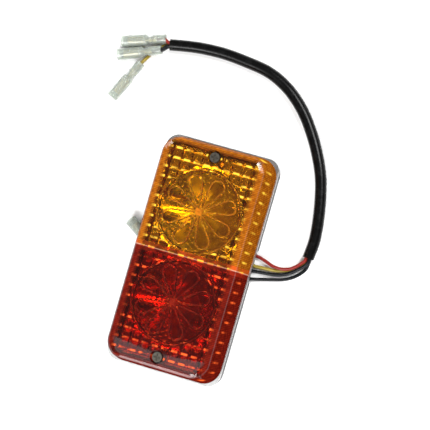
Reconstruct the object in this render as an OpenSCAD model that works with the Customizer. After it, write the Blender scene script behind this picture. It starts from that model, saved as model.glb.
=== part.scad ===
// Rear combination lamp for a trailer: an amber and a red lens on a flat base,
// two cross-mounted bayonet bulbs, and a short wiring tail with bullet connectors.
// Origin: centre of the mounting face. +Z points out of the lens, +Y to the amber end.

/* [Lens] */
// Length of the lens over its rim
lens_l = 142; // [118:1:171]
// Width of the lens over its rim
lens_w = 71; // [59:1:86]
// Height of the lens, rim to front face
lens_h = 27.3; // [26.5:0.1:34]
// Thickness of the lens walls
lens_wall = 2.2; // [1.6:0.1:2.6]
// Corner radius at the lens rim
lens_corner = 11; // [8:0.5:14]
// How far each long side leans in from rim to front
side_draft = 3.6; // [2:0.1:4.5]
// How far each end leans in from rim to front
end_draft = 2.2; // [1:0.1:4]
// Rounding between the front face and the sides
edge_round = 2.5; // [1.5:0.1:3.5]
// Width of the thick foot around the lens opening
foot_w = 4.2; // [3.8:0.1:4.6]
// Height of that foot
foot_h = 2.5; // [2.2:0.1:3]
// Reach of the red lens's joint lip under the amber lens
lip_reach = 2.8; // [1.5:0.1:4]
// Thickness of the joint lip
lip_t = 1.2; // [0.8:0.1:1.6]

/* [Lens screws] */
// Distance from each end of the lens rim to its screw
screw_inset = 9; // [8:0.1:11]
// Radius of the screw shank
screw_r = 2; // [1.5:0.05:2.5]
// Radius of the screw head
screw_head_r = 3; // [2.6:0.1:4]
// Height of the screw head
screw_head_h = 2.4; // [1.8:0.1:3]
// Depth of the head's pocket below the front face
pocket_depth = 4.4; // [3.5:0.1:6]
// Wall of the screw towers inside the lens
tower_wall = 1.2; // [0.8:0.1:2]

/* [Seal] */
// Distance of the seal from the rim's outer edge
seal_inset = 1.3; // [1:0.1:1.6]
// Width of the seal
seal_w = 1.6; // [1.2:0.1:2]
// Height of the seal
seal_h = 1.2; // [0.8:0.1:1.6]

/* [Base] */
// Height of the wiring recess at the back
recess_h = 8; // [7.8:0.1:10]
// Thickness of the base floor
floor_t = 1.6; // [1.4:0.1:2.4]
// Thickness of the skirt around the recess
skirt_t = 2.2; // [1.6:0.1:3]
// Height of the mounting gasket
gasket_h = 2; // [1.5:0.1:3]
// Width of the mounting gasket
gasket_w = 3.4; // [2.6:0.1:4.5]
// Thickness of the cross ribs in the recess
rib_t = 1.6; // [1.2:0.1:2.4]
// Distance of each cross rib from the middle
rib_y = 45; // [42:0.5:48]

/* [Mounting] */
// Distance between the two threaded inserts
insert_pitch = 60; // [56:1:68]
// Radius of the threaded bore in each insert
insert_bore_r = 2.1; // [1.6:0.1:2.6]
// Outer radius of each insert
insert_r = 3.5; // [3.2:0.1:4]
// Wall of the plastic boss round each insert
boss_wall = 2.4; // [1.6:0.1:3]

/* [Lamp plate] */
// Thickness of the steel lamp plate
plate_t = 1; // [0.8:0.1:1.5]
// How far the plate's edge stands out past the lens
plate_margin = 0.8; // [0.4:0.1:1.5]
// Corner radius of the plate
plate_corner = 8; // [6:0.5:10]
// Radius of the posts that take the lens screws
post_r = 3.6; // [3.2:0.1:4]
// Height of those posts above the plate
post_h = 9; // [7:0.1:10]
// Radius of the plate screws
plate_screw_r = 1.45; // [1.2:0.05:1.75]
// Distance from each lens side to its plate screws
plate_screw_side = 14.5; // [13.5:0.5:17.5]
// Distance from each lens end to its plate screws
plate_screw_inset = 14; // [12:0.5:16]

/* [Reflector] */
// Distance between the two light chambers' centres
chamber_pitch = 56; // [54:0.5:58]
// Radius of each reflector bowl's opening
bowl_r = 25.6; // [22:0.1:26]
// Depth of each bowl
bowl_depth = 13.8; // [12:0.1:13.8]
// Height of the reflector's top above the plate
reflector_h = 15.4; // [15.4:0.1:16]
// Wall of the reflector
reflector_t = 1.4; // [1:0.1:1.5]
// Gap between the reflector and the lens walls
reflector_gap = 1; // [0.6:0.1:2]

/* [Bulbs and sockets] */
// Height of the bulb axis above the plate
bulb_z = 12.9; // [12.5:0.1:13.2]
// Radius of the bulb cap
cap_r = 7.55; // [6:0.05:8]
// Length of the bulb cap
cap_l = 16; // [14:0.5:17]
// Radius of the bulb glass
glass_r = 9.5; // [8:0.1:9.8]
// Wall of the bulb glass
glass_t = 0.7; // [0.5:0.1:1]
// Distance from the cap to the centre of the glass ball
ball_reach = 10; // [8:0.5:12]
// Gap between the cap and the socket barrel
socket_gap = 0.3; // [0.2:0.05:0.5]
// Wall of the socket barrel
socket_t = 0.55; // [0.4:0.05:0.8]
// Length of the socket barrel
socket_l = 20.5; // [19:0.5:22]
// Radius of the bayonet pins
pin_r = 1; // [0.8:0.05:1.1]
// Angle that the bulb turns in its bayonet slots
twist = 20; // [15:1:30]
// Travel of each spring contact
contact_travel = 1.2; // [0.8:0.1:1.5]

/* [Wiring tail] */
// Radius of each wire
wire_r = 1.05; // [0.9:0.05:1.1]
// Radius of the black sleeve
sleeve_r = 3.6; // [3.2:0.1:3.7]
// Radius of the connector body
connector_r = 3.6; // [3.4:0.1:3.65]
// Length of the whole connector
connector_l = 28; // [26:0.5:29]
// Length of the connector's wide part
connector_wide_l = 15.5; // [14:0.5:17]
// Radius of the connector's waist
waist_r = 2.1; // [1.9:0.1:2.3]
// Radius of the connector's wire end
tail_r = 2.9; // [2.8:0.1:3.1]
// Wall of the connector
connector_t = 0.5; // [0.4:0.05:0.6]
// Bore of the receptacle terminal, as a radius
terminal_bore_r = 1.95; // [1.8:0.05:2]
// Wall of the receptacle terminal
terminal_t = 0.5; // [0.3:0.05:0.6]

/* [Hidden] */
$fn = 48;
sliver = 0.01;      // thickness of the thin slabs that a hull joins
through = 1;        // how far a cut runs past the face it opens
seat = 0.05;        // gap between pieces that press together
fit = 0.05;         // radial gap of a screw or pin in its hole
free = 0.3;         // gap round a piece that moves past another

// Levels above the mounting face
plate_z = recess_h + floor_t;
plate_top = plate_z + plate_t;
rim_z = plate_top + 0.1;
front_z = rim_z + lens_h;
foot_top = rim_z + foot_h;
reflector_top = plate_top + reflector_h;
axis_z = plate_top + bulb_z;
pocket_z = front_z - pocket_depth;

// Outlines
plate_w = lens_w + 2 * plate_margin;
plate_l = lens_l + 2 * plate_margin;
base_inset = 0.3;
base_w = plate_w - 2 * base_inset;
base_l = plate_l - 2 * base_inset;
base_corner = plate_corner + 0.5;
reflector_w = lens_w - 2 * (side_draft + lens_wall + reflector_gap);
reflector_l = lens_l - 2 * (end_draft + lens_wall + reflector_gap);
reflector_corner = 6;

// Screw towers and posts
screw_y = lens_l / 2 - screw_inset;
washer_t = 0.5;
washer_r = screw_head_r + 0.2;
pocket_r = screw_head_r + 1.1;
tower_r = pocket_r + tower_wall;
tower_floor = 2.6;
tower_tip_r = post_r + 0.4;
tower_clear_r = tower_tip_r + 0.6;
screw_tip_z = plate_top + 1.4;
spigot_r = 2.5;
plate_screw_x = lens_w / 2 - plate_screw_side;
plate_screw_y = lens_l / 2 - plate_screw_inset;
plate_head_r = 2.8;
plate_head_h = 1.8;
plate_boss_r = 3.6;
plate_screw_tip_z = 3;
insert_l = recess_h;
boss_r = insert_r + boss_wall;

// Chambers: everything along a bulb's axis is set from the back of its socket
chambers = [chamber_pitch / 2, -chamber_pitch / 2];
barrel_r = cap_r + socket_gap + socket_t;
back_x = -(lens_w / 2 - side_draft - lens_wall - 1.2);
insulator_t = 1.5;
spring_l = 3;
head_t = 2;
nub_x = back_x + insulator_t + spring_l + head_t + seat;
nub_l = 1.5;
cap_x = nub_x + nub_l;
cap_end = cap_x + cap_l;
pin_x = cap_x + 6.8;
pin_reach = cap_r + 1.1;
slot_half = pin_r + free;
slot_spread = asin(slot_half / cap_r) + 1.5;
ball_x = cap_end + ball_reach;
neck_r = cap_r - 0.45;
neck_insert = 3;
stem_r = 1.1;
contact_r = 2.6;
contact_tail = 1.2;
tag_t = 0.7;
bracket_y = 5;
bracket_t = 1;
bracket_x = [back_x + 3, back_x + 15];
foot_x = [back_x + 5, back_x + 13];
foot_reach = 9.1;
rivet_y = 7.3;
rivet_r = 1.2;
rivet_head_r = 1.7;
rivet_x = (foot_x[0] + foot_x[1]) / 2;
slot_margin = 0.8;

// Cable outlets in the skirt, as ranges along the lamp, and their heights
right_notch = [-4.2, 16.2];
right_notch_h = 4.6;
left_notch_half = 5.85;
left_notch_h = recess_h;

// Grommet in the middle of the plate
grommet_x = 0;
grommet_y = 2;
grommet_neck_r = 4.2;
grommet_flange_r = 5.5;
grommet_flange_t = 1.2;
grommet_block = 9;
grommet_block_h = 3;
exit_r = 2.6;
exit_z = recess_h - grommet_flange_t;
lead_z = plate_top + 1.5;
lead_r = 0.9;
tag_x = grommet_x + 9;

// Routes of the wires, points on their centre lines
function exit_at(angle, down) =
    [grommet_x + exit_r * cos(angle), grommet_y + exit_r * sin(angle), exit_z - down];
sleeve_route = [
    [66.9, 20, 3.7], [67.7, 31, 3.7], [66.5, 44, 3.7], [63.8, 58.4, 3.7], [60.2, 70.8, 3.7],
    [53.9, 84.2, 3.7], [46.3, 96.5, 3.7], [37.9, 107, 3.7], [26.1, 117, 3.7], [12.5, 123.6, 3.7],
    [-4.3, 126.6, 3.7], [-19.5, 127.9, 3.7], [-34, 127.4, 3.7], [-44, 126.1, 3.7], [-52.6, 124.6, 3.7]
];
// A wire's place in the sleeve's mouth: sideways, up, and how far out of the mouth
wire_shift = 1.15;
function in_mouth(a, b, across, up, out) = let (d = unit(a - b))
    a + wire_shift * [across * d.y, -across * d.x, up] + out * d;
function near(across, up, out) = in_mouth(sleeve_route[0], sleeve_route[1], across, up, out);
sleeve_last = len(sleeve_route) - 1;
function far(across, up, out) =
    in_mouth(sleeve_route[sleeve_last], sleeve_route[sleeve_last - 1], across, up, out);

// Connectors: tip, wire end
red_ends = [[-82.9, 118.9, 3.7], [-56.2, 127.4, 3.7]];
black_ends = [[-83, 110.3, 3.7], [-56.9, 119.9, 5.7]];
yellow_ends = [[-79.2, 83.6, 3.7], [-67.2, 108.9, 3.7]];
side_ends = [[-46, 13.1, 3.7], [-22.35, -1.9, 3.7]];
// Where the side connector passes the middle of the skirt
side_slope = (side_ends[1][1] - side_ends[0][1]) / (side_ends[1][0] - side_ends[0][0]);
side_y = side_ends[0][1] + side_slope * (skirt_t / 2 - base_w / 2 - side_ends[0][0]);
crimp_end = 22;
// A point on a connector: distance from the end of the crimp, and height off the axis
function in_connector(ends, s, up) =
    let (d = unit(ends[1] - ends[0]), u = cross(unit(cross(d, [0, 0, 1])), d))
    ends[0] + (crimp_end + s) * d + up * u;

red_route = [
    exit_at(72, 0), exit_at(72, 1.6), [2.6, 6, 3], [6.2, 7.6, 2], [12, 9.6, 1.5], [20, 11.8, 1.4],
    [29, 13, 1.4], [36, 12.9, 1.7], [41.7, 11.5, 2.4], [46.1, 10, 3], [50.2, 9.3, 3.4], [54.4, 9.6, 3.6],
    [58.2, 11, 3.8], [61.6, 13.5, 4.2], [63.9, 16, 4.5], near(1, 1, 2), near(1, 1, 0)
];
yellow_route = [
    exit_at(0, 0), exit_at(0, 1.6), [4.6, 2.4, 2.8], [8.2, 3.2, 1.6], [14, 4.4, 1.2], [24, 5.7, 1.2],
    [37.4, 6.7, 1.2], [42, 6.9, 1.2], [46.4, 7.2, 1.2], [50.4, 7.7, 1.2], [54.6, 9, 1.2], [58.4, 11, 1.2],
    [62, 13.9, 1.4], [64.5, 16.1, 2.1], near(1, -1, 2), near(1, -1, 0)
];
black_route = [
    exit_at(-72, 0), exit_at(-72, 1.6), [2.4, -2, 3], [5.8, -1.8, 1.6], [12, 0.2, 1.2], [24, 2.5, 1.2],
    [37.5, 3.6, 1.2], [42, 4, 1.2], [46.8, 4.5, 1.2], [51.6, 5.4, 1.2], [55.8, 6.9, 1.3], [59.6, 9.1, 1.9],
    [63.1, 12, 3], [66.2, 14.9, 4.1], near(-1, 1, 2), near(-1, 1, 0)
];
second_black_route = [
    exit_at(-144, 0), exit_at(-144, 1.6), [-0.6, -3, 3], [2.8, -5, 1.6], [9, -5.6, 1.2], [22, -3.6, 1.2],
    [37.3, -1.3, 1.2], [43.5, 0.2, 1.2], [49, 1.6, 1.2], [53.9, 3, 1.2], [58.2, 4.8, 1.2], [61.9, 7.2, 1.2],
    [65.1, 10.3, 1.3], [67.4, 13.8, 1.5], near(-1, -1, 3), near(-1, -1, 1.4), near(-1, -1, 0)
];
red_tail_route = [
    far(1, 1, 0), far(1, 1, 1.2), in_connector(red_ends, 5.2, 0.5), in_connector(red_ends, 2.5, 0),
    in_connector(red_ends, 0, 0)
];
black_tail_route = [
    far(-1, 1, 0), far(-1, 1, 1.4), in_connector(black_ends, 6.4, 1.3), in_connector(black_ends, 3.5, 1.1),
    in_connector(black_ends, 0, 1.1)
];
second_black_tail_route = [
    far(-1, -1, 0), far(-1, -1, 1.4), in_connector(black_ends, 6.4, -1.3),
    in_connector(black_ends, 3.5, -1.1), in_connector(black_ends, 0, -1.1)
];
yellow_tail_route = [
    far(1, -1, 0), far(1, -1, 0.5), [-54.7, 124.9, 1.55], [-56.5, 123.5, 1.08], [-59.2, 121.5, 1.15],
    [-61.6, 118.8, 1.15],
    [-63.4, 116.2, 1.2], [-65, 113.4, 1.9], in_connector(yellow_ends, 7.5, -0.7),
    in_connector(yellow_ends, 5, 0), in_connector(yellow_ends, 2.5, 0), in_connector(yellow_ends, 0, 0)
];
side_route = [
    exit_at(144, 0), exit_at(144, 1.6), [-4.6, 4.2, 3], [-8.2, 2.8, 2.2], [-11.4, -1.4, 2.2],
    [-14.8, -4.6, 3],
    [-18.6, -4.3, 3.6], in_connector(side_ends, 6, 0), in_connector(side_ends, 3, 0),
    in_connector(side_ends, 0, 0)
];
// Inside the lamp, relative to the bottom of a contact tag
lead_route = [
    [-1.4, 0, 0], [-1.4, 0, -3.4], [-0.6, -2, -5.8], [2.2, -7.5, -6.6], [3.6, -12, -6.6], [14, -19, -6.4]
];

function unit(v) = v / norm(v);
function tangent(p, i) = unit(p[min(i + 1, len(p) - 1)] - p[max(i - 1, 0)]);
function first_side(t) = unit(cross(t, abs(t.z) > 0.9 ? [0, 1, 0] : [0, 0, 1]));
function side(p, i) = i == 0 ? first_side(tangent(p, 0)) :
    let (s = side(p, i - 1), t = tangent(p, i)) unit(s - (s * t) * t);
function ring(p, i, r, n) = let (s = side(p, i), u = cross(tangent(p, i), s))
    [for (k = [0 : n - 1]) p[i] + r * (cos(360 * k / n) * s + sin(360 * k / n) * u)];
function helix(turns, radius, pitch, steps) =
    [for (i = [0 : turns * steps]) let (a = 360 * i / steps)
        [pitch * i / steps, radius * cos(a), radius * sin(a)]];

// A round tube that follows a list of points
module tube(p, r, n) {
    points = [for (i = [0 : len(p) - 1]) each ring(p, i, r, n)];
    last = (len(p) - 1) * n;
    walls = [for (i = [0 : len(p) - 2], k = [0 : n - 1]) let (a = i * n + k, b = i * n + (k + 1) % n)
        each [[a, b, b + n], [a, b + n, a + n]]];
    ends = [[for (k = [n - 1 : -1 : 0]) k], [for (k = [0 : n - 1]) last + k]];
    polyhedron(points, concat(walls, ends), convexity = 10);
}

// Rounded rectangle with true arcs, l along Y
module outline(w, l, r) {
    square([w - 2 * r, l], center = true);
    square([w, l - 2 * r], center = true);
    for (x = [-1, 1], y = [-1, 1]) translate([x * (w / 2 - r), y * (l / 2 - r)]) circle(r);
}
module slab(w, l, r, z, h) {
    translate([0, 0, z]) linear_extrude(h) outline(w, l, r);
}
module frame_ring(w, l, r, inset, width, z, h) {
    translate([0, 0, z]) linear_extrude(h) difference() {
        outline(w - 2 * inset, l - 2 * inset, r - inset);
        outline(w - 2 * (inset + width), l - 2 * (inset + width), r - inset - width);
    }
}
module rod(r, x0, x1) {
    translate([x0, 0, 0]) rotate([0, 90, 0]) cylinder(r = r, h = x1 - x0);
}
module block(x, y, z) {
    translate([x[0], y[0], z[0]]) cube([x[1] - x[0], y[1] - y[0], z[1] - z[0]]);
}
module in_chamber(y) {
    translate([0, y, axis_z]) children();
}
// Puts children that stand on +Z along a line between two points
module along(ends) {
    d = unit(ends[1] - ends[0]);
    translate(ends[0]) rotate([0, acos(d.z), atan2(d.y, d.x)]) children();
}

// Base
module cable_notches(z0) {
    block([0, base_w], right_notch, [z0, right_notch_h]);
    block([-base_w, 0], [side_y - left_notch_half, side_y + left_notch_half], [z0, left_notch_h]);
}
module base_housing() color([0.07, 0.07, 0.07]) {
    difference() {
        union() {
            difference() {
                slab(base_w, base_l, base_corner, gasket_h, plate_z - gasket_h);
                slab(base_w - 2 * skirt_t, base_l - 2 * skirt_t, base_corner - skirt_t,
                    gasket_h - through, recess_h - gasket_h + through);
                cable_notches(-through);
            }
            for (s = [-1, 1]) {
                translate([0, s * insert_pitch / 2, 0]) cylinder(r = boss_r, h = recess_h);
                block([-base_w / 2 + skirt_t, base_w / 2 - skirt_t],
                    [s * rib_y - rib_t / 2, s * rib_y + rib_t / 2], [gasket_h + 1, recess_h]);
            }
            for (x = [-1, 1], y = [-1, 1]) translate([x * plate_screw_x, y * plate_screw_y, gasket_h])
                cylinder(r = plate_boss_r, h = recess_h - gasket_h);
        }
        for (s = [-1, 1]) translate([0, s * insert_pitch / 2, -through])
            cylinder(r = insert_r + seat, h = insert_l + through);
        for (x = [-1, 1], y = [-1, 1])
            translate([x * plate_screw_x, y * plate_screw_y, plate_screw_tip_z - 0.4])
            cylinder(r = plate_screw_r + fit, h = plate_z);
        for (y = chambers, s = [-1, 1]) translate([rivet_x, y + s * rivet_y, plate_z - 1])
            cylinder(r = rivet_head_r + 0.4, h = 1 + through);
        translate([tag_x + 7, grommet_y, plate_z - 1]) cylinder(r = rivet_head_r + 0.4, h = 1 + through);
        translate([grommet_x, grommet_y, 0]) cylinder(r = grommet_neck_r + seat, h = plate_z + through);
    }
}
module mounting_gasket() color([0.12, 0.12, 0.12]) {
    difference() {
        frame_ring(base_w, base_l, base_corner, 0, gasket_w, 0, gasket_h);
        cable_notches(-through);
    }
}
module mounting_inserts() color("goldenrod") {
    for (s = [-1, 1]) translate([0, s * insert_pitch / 2, 0]) difference() {
        cylinder(r = insert_r, h = insert_l - seat);
        translate([0, 0, -through]) cylinder(r = insert_bore_r, h = insert_l + 2 * through);
    }
}

// Lamp plate and what is fixed to it
module lamp_plate() color([0.85, 0.86, 0.84]) {
    difference() {
        slab(plate_w, plate_l, plate_corner, plate_z, plate_t);
        translate([0, 0, plate_z - through]) {
            translate([grommet_x, grommet_y])
                cylinder(r = grommet_neck_r + seat, h = plate_t + 2 * through);
            translate([tag_x + 7, grommet_y]) cylinder(r = rivet_r + fit, h = plate_t + 2 * through);
            for (s = [-1, 1]) translate([0, s * screw_y])
                cylinder(r = spigot_r + fit, h = plate_t + 2 * through);
            for (y = chambers, s = [-1, 1]) translate([rivet_x, y + s * rivet_y])
                cylinder(r = rivet_r + fit, h = plate_t + 2 * through);
            for (x = [-1, 1], y = [-1, 1]) translate([x * plate_screw_x, y * plate_screw_y])
                cylinder(r = plate_screw_r + fit, h = plate_t + 2 * through);
        }
    }
}
module plate_screws() color("silver") {
    for (x = [-1, 1], y = [-1, 1]) translate([x * plate_screw_x, y * plate_screw_y, 0]) difference() {
        union() {
            translate([0, 0, plate_screw_tip_z])
                cylinder(r = plate_screw_r, h = plate_top - plate_screw_tip_z);
            translate([0, 0, plate_top]) cylinder(r = plate_head_r, h = plate_head_h);
        }
        for (a = [0, 90]) rotate(a) translate([0, 0, plate_top + plate_head_h])
            cube([3, 0.7, 1.6], center = true);
    }
}
module lens_posts() color("silver") {
    for (s = [-1, 1]) translate([0, s * screw_y, 0]) difference() {
        union() {
            translate([0, 0, plate_top]) cylinder(r = post_r, h = post_h);
            translate([0, 0, plate_z]) cylinder(r = spigot_r, h = plate_t);
        }
        translate([0, 0, screw_tip_z - 0.4]) cylinder(r = screw_r + fit, h = post_h);
    }
}
module lens_seal() color([0.15, 0.15, 0.15]) {
    frame_ring(lens_w, lens_l, lens_corner, seal_inset, seal_w, plate_top, seal_h);
}
module wire_grommet() color([0.1, 0.1, 0.1]) {
    translate([grommet_x, grommet_y, 0]) {
        translate([0, 0, exit_z]) cylinder(r = grommet_flange_r, h = grommet_flange_t);
        translate([0, 0, recess_h]) cylinder(r = grommet_neck_r, h = plate_top - recess_h);
        translate([-grommet_block / 2, -grommet_block / 2, plate_top])
            cube([grommet_block, grommet_block, grommet_block_h]);
    }
}
module earth_tag() color("gold") {
    difference() {
        union() {
            block([tag_x + 2, tag_x + 10], [grommet_y - 3, grommet_y + 3], [plate_top, plate_top + 0.6]);
            translate([0, grommet_y, lead_z]) rod(lead_z - plate_top, tag_x, tag_x + 3);
        }
        translate([tag_x + 7, grommet_y, plate_top - through]) cylinder(r = rivet_r + fit, h = 2 + through);
    }
}
module rivet(x, y, grip_top) {
    translate([x, y, 0]) {
        translate([0, 0, plate_z - 0.8]) cylinder(r = rivet_head_r, h = 0.8);
        translate([0, 0, plate_z]) cylinder(r = rivet_r, h = grip_top - plate_z);
        translate([0, 0, grip_top]) cylinder(r = rivet_head_r, h = 0.8);
    }
}
module earth_rivet() color("silver") rivet(tag_x + 7, grommet_y, plate_top + 0.6);

// Reflector
module bowl(extra) {
    // A sphere's cap: opening bowl_r at the reflector's top, bowl_depth deep
    sphere_r = (bowl_r * bowl_r + bowl_depth * bowl_depth) / (2 * bowl_depth);
    translate([0, 0, reflector_top - bowl_depth + sphere_r]) sphere(r = sphere_r + extra, $fn = 96);
}
module reflector() color([0.9, 0.9, 0.92]) {
    difference() {
        intersection() {
            union() {
                difference() {
                    slab(reflector_w, reflector_l, reflector_corner, plate_top, reflector_h);
                    slab(reflector_w - 2 * reflector_t, reflector_l - 2 * reflector_t,
                        reflector_corner - reflector_t, plate_top - through,
                        reflector_h - reflector_t + through);
                }
                for (y = chambers) translate([0, y, 0]) bowl(reflector_t);
            }
            slab(reflector_w, reflector_l, reflector_corner, plate_top, reflector_h);
        }
        for (y = chambers) translate([0, y, 0]) bowl(0);
        for (y = chambers) block([-lens_w, back_x + socket_l + slot_margin],
            [y - foot_reach - slot_margin, y + foot_reach + slot_margin], [0, front_z]);
        for (y = chambers) in_chamber(y) {
            rod(glass_r + 1, ball_x, lens_w);
            translate([ball_x, 0, 0]) sphere(r = glass_r + 0.8);
        }
        for (s = [-1, 1]) translate([0, s * screw_y, 0])
            cylinder(r = tower_clear_r, h = front_z);
    }
}
module chamber_divider() color([0.92, 0.92, 0.92]) {
    half = reflector_w / 2 - lip_t - 1.2;
    block([-half, half], [-0.8, 0.8], [reflector_top, front_z - lens_wall - lip_t - 0.4]);
    block([-half, half], [-2, 2], [reflector_top, reflector_top + 1]);
}

// Sockets, contacts and bulbs
module socket(y) {
    in_chamber(y) difference() {
        union() {
            rod(barrel_r, back_x, back_x + socket_l);
            for (s = [-1, 1]) {
                block(bracket_x, [s * bracket_y - bracket_t / 2, s * bracket_y + bracket_t / 2],
                    [-bulb_z, -barrel_r * 0.7]);
                block(foot_x, s > 0 ? [bracket_y, foot_reach] : [-foot_reach, -bracket_y],
                    [-bulb_z, -bulb_z + 1]);
            }
        }
        rod(cap_r + socket_gap, back_x - through, back_x + socket_l + through);
        for (a = [0, 180]) rotate([a, 0, 0]) {
            rotate([0, 90, 0]) rotate(90 - slot_spread) rotate_extrude(angle = twist + 2 * slot_spread)
                translate([cap_r - 1, pin_x - 2.4]) square([barrel_r - cap_r + 2, 2.4 + slot_half]);
            rotate([twist, 0, 0])
                block([pin_x, back_x + socket_l + through], [cap_r - 1, barrel_r + through],
                    [-slot_half, slot_half]);
        }
        for (s = [-1, 1]) translate([rivet_x, s * rivet_y, -bulb_z - through])
            cylinder(r = rivet_r + fit, h = 1 + 2 * through);
    }
}
module amber_socket() color("silver") socket(chambers[0]);
module red_socket() color("silver") socket(chambers[1]);
module socket_rivets() color("silver") {
    for (y = chambers, s = [-1, 1]) rivet(rivet_x, y + s * rivet_y, plate_top + 1);
}
module insulator(y) {
    in_chamber(y) difference() {
        rod(cap_r + socket_gap - seat, back_x, back_x + insulator_t);
        rod(stem_r + free, back_x - through, back_x + insulator_t + through);
    }
}
module amber_insulator() color("sienna") insulator(chambers[0]);
module red_insulator() color("sienna") insulator(chambers[1]);
module contact(y) {
    in_chamber(y) {
        rod(stem_r, back_x - contact_tail, nub_x - head_t - seat);
        rod(contact_r, nub_x - head_t - seat, nub_x - seat);
    }
}
module amber_contact() color("gold") contact(chambers[0]);
module red_contact() color("gold") contact(chambers[1]);
module contact_spring(y) {
    coil_r = 0.22;
    turns = 3;
    pitch = (spring_l - 2 * coil_r - 2 * seat) / turns;
    translate([back_x + insulator_t + coil_r + seat, y, axis_z])
        tube(helix(turns, stem_r + free + coil_r + 0.15, pitch, 12), coil_r, 6);
}
module amber_contact_spring() color("silver") contact_spring(chambers[0]);
module red_contact_spring() color("silver") contact_spring(chambers[1]);
module contact_tag(y) {
    in_chamber(y) difference() {
        union() {
            block([back_x - tag_t, back_x], [-2.2, 2.2], [-5.2, 3]);
            block([back_x - 2.4, back_x], [-1.5, 1.5], [-5.2, -4.6]);
        }
        rod(stem_r + free, back_x - 3, back_x + through);
    }
}
module amber_contact_tag() color("gold") contact_tag(chambers[0]);
module red_contact_tag() color("gold") contact_tag(chambers[1]);
function lead_points(y, s) = let (face_x = grommet_x - grommet_block / 2) concat(
    [for (p = lead_route) [back_x + p.x, y + s * p.y, axis_z - 5.2 + p.z]],
    [for (p = [[-6, 4.5], [-3, 1.8], [0, 1.8]]) [face_x + p.x, grommet_y + s * p.y, lead_z]]
);
module amber_lead() color("yellow") tube(lead_points(chambers[0], 1), lead_r, 8);
module red_lead() color("red") tube(lead_points(chambers[1], -1), lead_r, 8);
module earth_lead() color("black") {
    translate([0, grommet_y, lead_z]) rod(lead_r, grommet_x + grommet_block / 2, tag_x);
}
module bulb_cap(y) {
    in_chamber(y) difference() {
        union() {
            rod(2.2, nub_x, cap_x);
            rod(cap_r, cap_x, cap_end);
            translate([pin_x, 0, 0]) rotate([90, 0, 0]) cylinder(r = pin_r, h = 2 * pin_reach, center = true);
        }
        rod(neck_r + seat, cap_end - 8, cap_end + through);
    }
}
module amber_bulb_cap() color("silver") bulb_cap(chambers[0]);
module red_bulb_cap() color("silver") bulb_cap(chambers[1]);
module bulb_glass(y) {
    in_chamber(y) difference() {
        union() {
            rod(neck_r, cap_end - neck_insert, ball_x);
            translate([ball_x, 0, 0]) sphere(r = glass_r);
        }
        rod(neck_r - glass_t, cap_end - neck_insert - through, ball_x);
        translate([ball_x, 0, 0]) sphere(r = glass_r - glass_t);
    }
}
module amber_bulb_glass() color([0.9, 0.95, 1, 0.4]) bulb_glass(chambers[0]);
module red_bulb_glass() color([0.9, 0.95, 1, 0.4]) bulb_glass(chambers[1]);
module bulb_filament(y) {
    in_chamber(y) {
        rod(2.6, cap_end - 8, cap_end + 2);
        for (s = [-1, 1]) translate([0, s * 1.9, 0]) rod(0.3, cap_end + 2 - through, ball_x - 1);
        translate([ball_x - 1, 0, 0]) rotate([90, 0, 0]) cylinder(r = 0.5, h = 4.6, center = true);
    }
}
module amber_bulb_filament() color("gray") bulb_filament(chambers[0]);
module red_bulb_filament() color("gray") bulb_filament(chambers[1]);

// Lens
function lens_lean(z) = (z - rim_z) / lens_h;
module lens_slab(z, inside, shrink) {
    w = lens_w - 2 * (inside + shrink + side_draft * lens_lean(z));
    l = lens_l - 2 * (inside + shrink + end_draft * lens_lean(z));
    slab(w, l, lens_corner - inside - shrink * 0.6, z, sliver, $fn = 48);
}
// The lens's tapered block, moved in by a wall, from z0 up to z1
module lens_block(inside, z0, z1) {
    hull() {
        lens_slab(z0, inside, 0);
        lens_slab(z1 - edge_round, inside, 0);
        lens_slab(z1 - edge_round * 0.3, inside, edge_round * 0.3);
        lens_slab(z1 - sliver, inside, edge_round);
    }
}
module lens_shell() {
    difference() {
        lens_block(0, rim_z, front_z);
        difference() {
            lens_block(lens_wall, foot_top, front_z - lens_wall);
            for (s = [-1, 1]) translate([0, s * screw_y, 0]) {
                translate([0, 0, pocket_z - tower_floor]) cylinder(r = tower_r, h = front_z);
                translate([0, 0, plate_top + post_h + seat]) cylinder(r = tower_tip_r, h = front_z);
            }
        }
        slab(lens_w - 2 * foot_w, lens_l - 2 * foot_w, lens_corner - foot_w,
            rim_z - through, foot_h + through + sliver);
        frame_ring(lens_w, lens_l, lens_corner, seal_inset - 0.1, seal_w + 0.2,
            rim_z - through, seal_h + through);
        for (s = [-1, 1]) translate([0, s * screw_y, 0]) {
            translate([0, 0, pocket_z]) cylinder(r = pocket_r, h = front_z);
            cylinder(r = screw_r + free, h = front_z);
        }
    }
}
module amber_lens() color([1, 0.6, 0.1, 0.7]) {
    intersection() {
        lens_shell();
        block([-lens_w, lens_w], [0, lens_l], [0, front_z + through]);
    }
}
module red_lens() color([0.8, 0.08, 0.05, 0.7]) {
    intersection() {
        lens_shell();
        block([-lens_w, lens_w], [-lens_l, 0], [0, front_z + through]);
    }
    difference() {
        union() {
            intersection() {
                lens_block(lens_wall + seat, foot_top + 0.1, front_z - lens_wall - seat);
                block([-lens_w, lens_w], [-1, lip_reach], [0, front_z]);
            }
            intersection() {
                lens_block(lens_wall - 0.5, foot_top + 0.1, front_z - lens_wall + 0.5);
                block([-lens_w, lens_w], [-lip_reach, 0], [0, front_z]);
            }
        }
        lens_block(lens_wall + lip_t, foot_top - through, front_z - lens_wall - lip_t);
    }
}
module lens_screw(y) {
    head_z = pocket_z + washer_t + seat;
    translate([0, y, 0]) difference() {
        union() {
            translate([0, 0, screw_tip_z]) cylinder(r = screw_r, h = head_z - screw_tip_z);
            translate([0, 0, head_z]) cylinder(r = screw_head_r, h = screw_head_h);
        }
        for (a = [0, 90]) rotate(a) translate([0, 0, head_z + screw_head_h])
            cube([4.2, 0.9, 2.6], center = true);
    }
}
module lens_screw_amber() color("silver") lens_screw(screw_y);
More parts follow.
